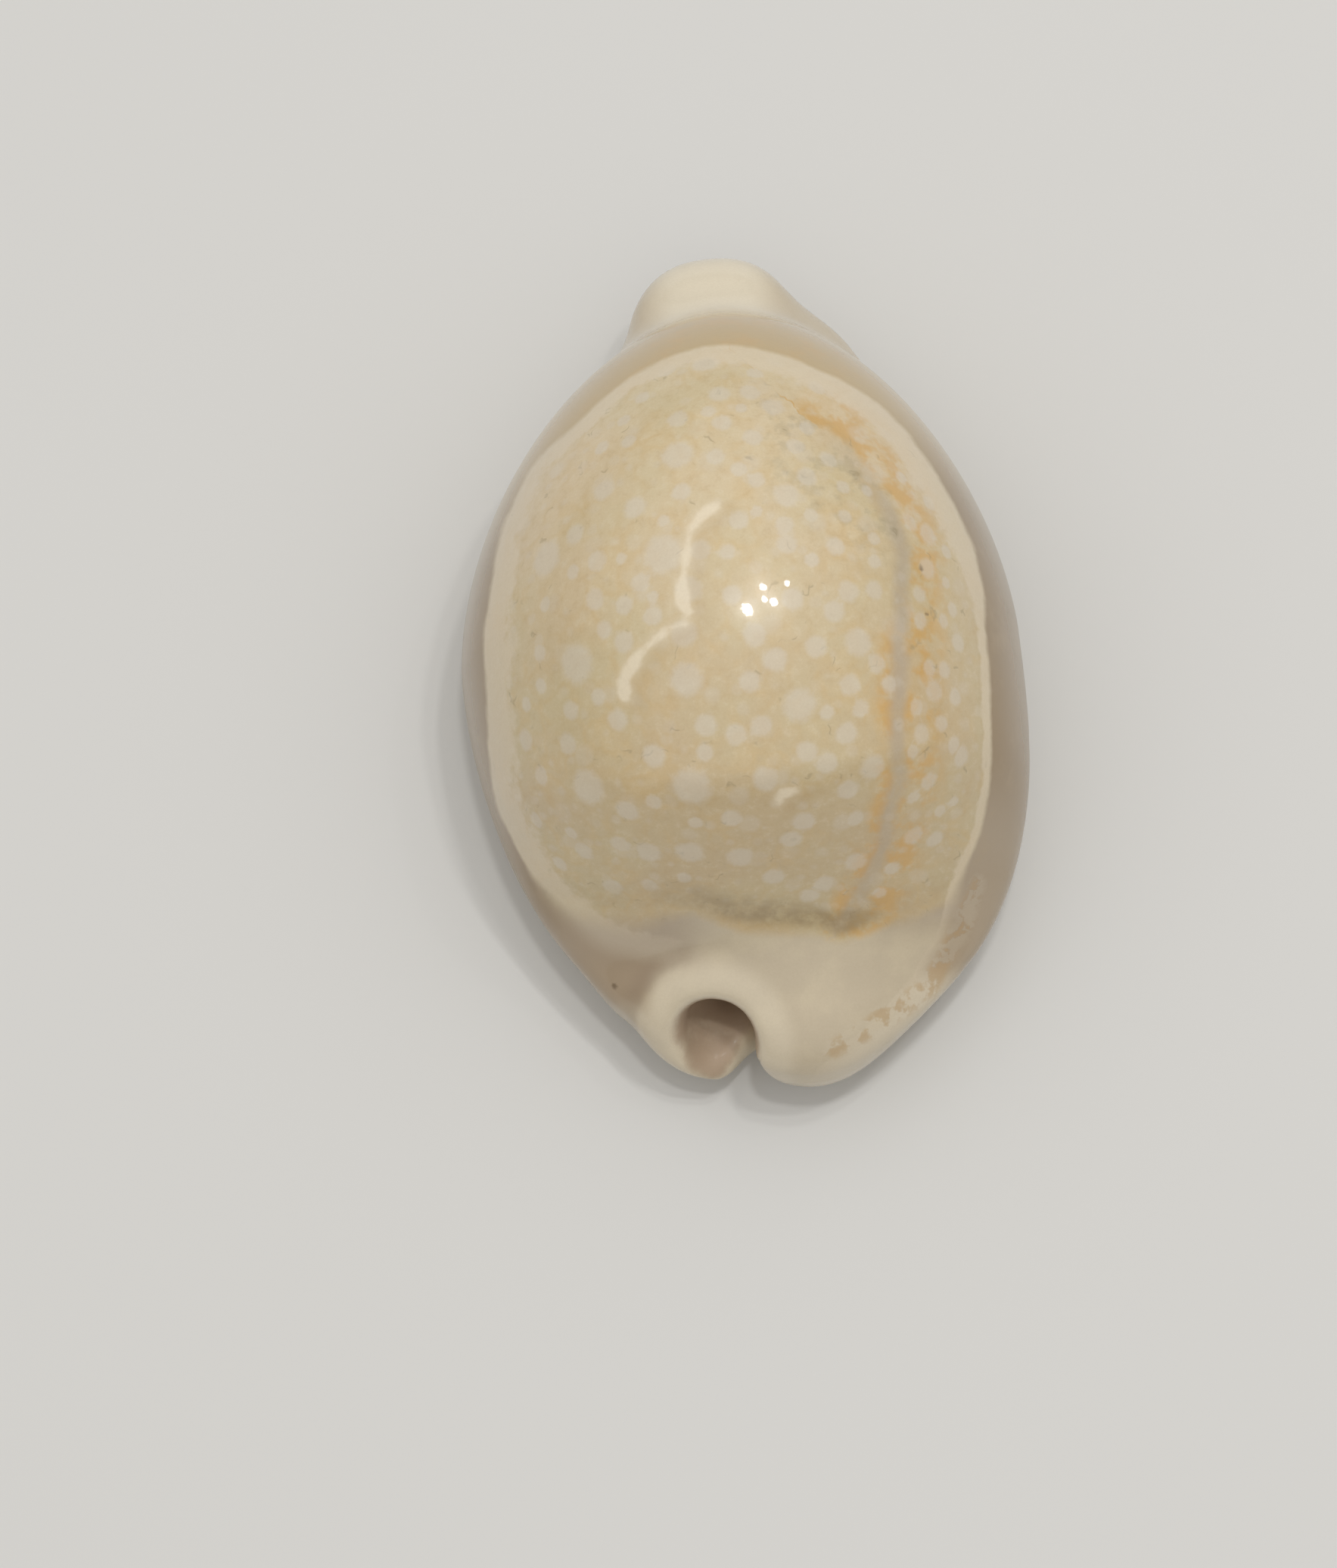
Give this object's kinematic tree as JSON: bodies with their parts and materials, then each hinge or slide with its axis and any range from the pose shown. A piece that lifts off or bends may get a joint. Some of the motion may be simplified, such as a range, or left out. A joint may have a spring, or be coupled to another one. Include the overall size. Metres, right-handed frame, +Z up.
{
  "type": "cowrie shell",
  "caption": "Glossy egg-shaped cowrie shell with a domed, pale-spotted back, drawn-out ends and a long toothed slit along its flat base.",
  "frame": {"origin": "middle of the shell's box, on the plane it rests on", "axes": "+Z up out of the domed back, +Y towards the narrow anterior end, +X towards the outer (labral) lip"},
  "size_m": [0.0268, 0.041, 0.0202],
  "materials": {
    "shell": "gloss"
  },
  "bodies": {
    "root": {"cowrie_shell": "shell"}
  },
  "joints": []
}
